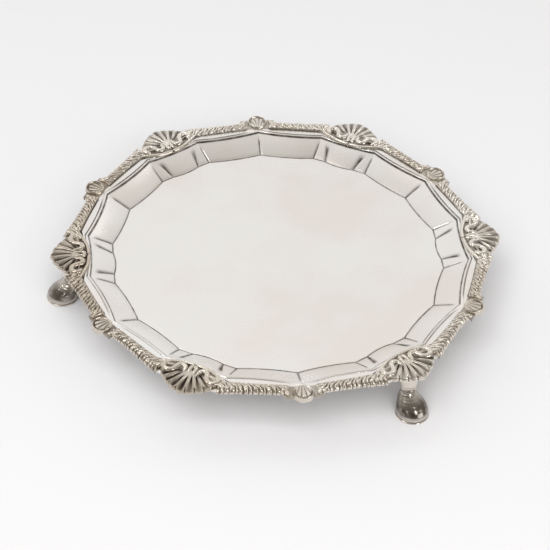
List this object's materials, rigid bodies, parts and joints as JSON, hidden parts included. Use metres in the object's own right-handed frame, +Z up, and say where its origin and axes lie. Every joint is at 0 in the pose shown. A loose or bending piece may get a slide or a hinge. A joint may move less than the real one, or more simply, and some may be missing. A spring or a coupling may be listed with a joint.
{
  "type": "footed silver salver",
  "caption": "Hexagonal silver salver: flat well, faceted sloping wall, plain flange, applied border of scallop shells and gadroons, standing on hoof feet.",
  "frame": {"origin": "centre of the plane that the soles of the three feet stand on, under the middle of the well", "axes": "+Z up through the middle of the well; +Y towards one of the three feet; large shells every 60 degrees from +Y, small shells midway between them"},
  "size_m": [0.194, 0.2055, 0.0264],
  "materials": {
    "sheet_silver": "polished, softly worn silver with a faint warm tarnish and fine scratches",
    "cast_silver": "cast silver, bright on the high points and dark brown-grey in the recesses",
    "foot_silver": "cast silver, darker and more tarnished than the tray, with rubbed edges"
  },
  "bodies": {
    "root": {"tray_body": "sheet_silver", "large_shell_1": "cast_silver", "large_shell_2": "cast_silver", "large_shell_3": "cast_silver", "large_shell_4": "cast_silver", "large_shell_5": "cast_silver", "large_shell_6": "cast_silver", "small_shell_1": "cast_silver", "small_shell_2": "cast_silver", "small_shell_3": "cast_silver", "small_shell_4": "cast_silver", "small_shell_5": "cast_silver", "small_shell_6": "cast_silver", "gadroon_strip_1": "cast_silver", "gadroon_strip_2": "cast_silver", "gadroon_strip_3": "cast_silver", "gadroon_strip_4": "cast_silver", "gadroon_strip_5": "cast_silver", "gadroon_strip_6": "cast_silver", "gadroon_strip_7": "cast_silver", "gadroon_strip_8": "cast_silver", "gadroon_strip_9": "cast_silver", "gadroon_strip_10": "cast_silver", "gadroon_strip_11": "cast_silver", "gadroon_strip_12": "cast_silver", "hoof_foot_1": "foot_silver", "hoof_foot_2": "foot_silver", "hoof_foot_3": "foot_silver"}
  },
  "joints": []
}
